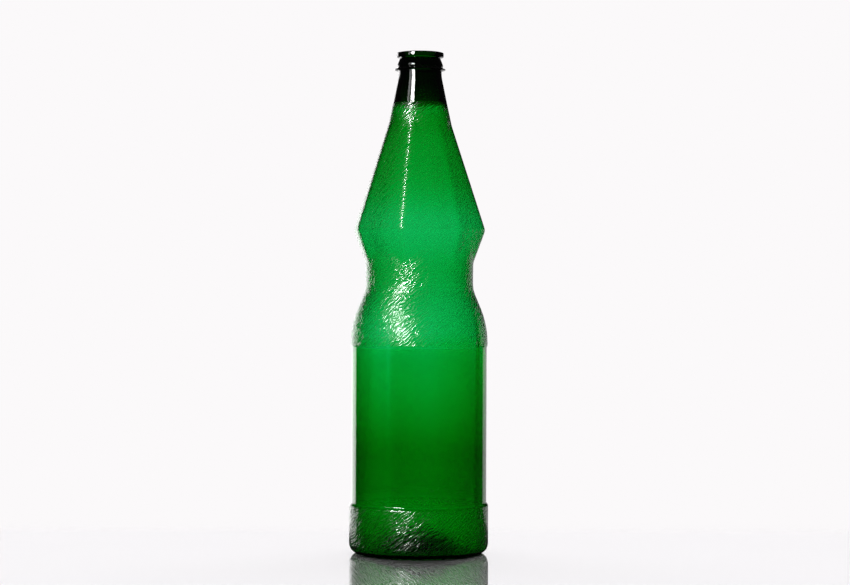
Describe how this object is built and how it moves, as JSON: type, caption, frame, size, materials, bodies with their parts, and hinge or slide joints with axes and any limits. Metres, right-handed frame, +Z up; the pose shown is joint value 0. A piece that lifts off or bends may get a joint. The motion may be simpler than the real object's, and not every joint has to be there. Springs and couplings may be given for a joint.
{
  "type": "syrup bottle",
  "caption": "Empty green see-through plastic syrup bottle with a faceted upper body, a pinched waist, a smooth label panel and an open neck.",
  "frame": {"origin": "on the bottle's axis, in the plane of the ring that it stands on", "axes": "+Z up along the axis, towards the mouth; the narrow facets and the mould's parting plane lie at +X and -X, and two of the wide facets face +Y and -Y"},
  "size_m": [0.0842, 0.0842, 0.3022],
  "materials": {
    "green_plastic": "gloss, clear; a fine wavy grain on the throat, facets, waist, shoulder and base band"
  },
  "bodies": {
    "root": {"bottle": "green_plastic"}
  },
  "joints": []
}
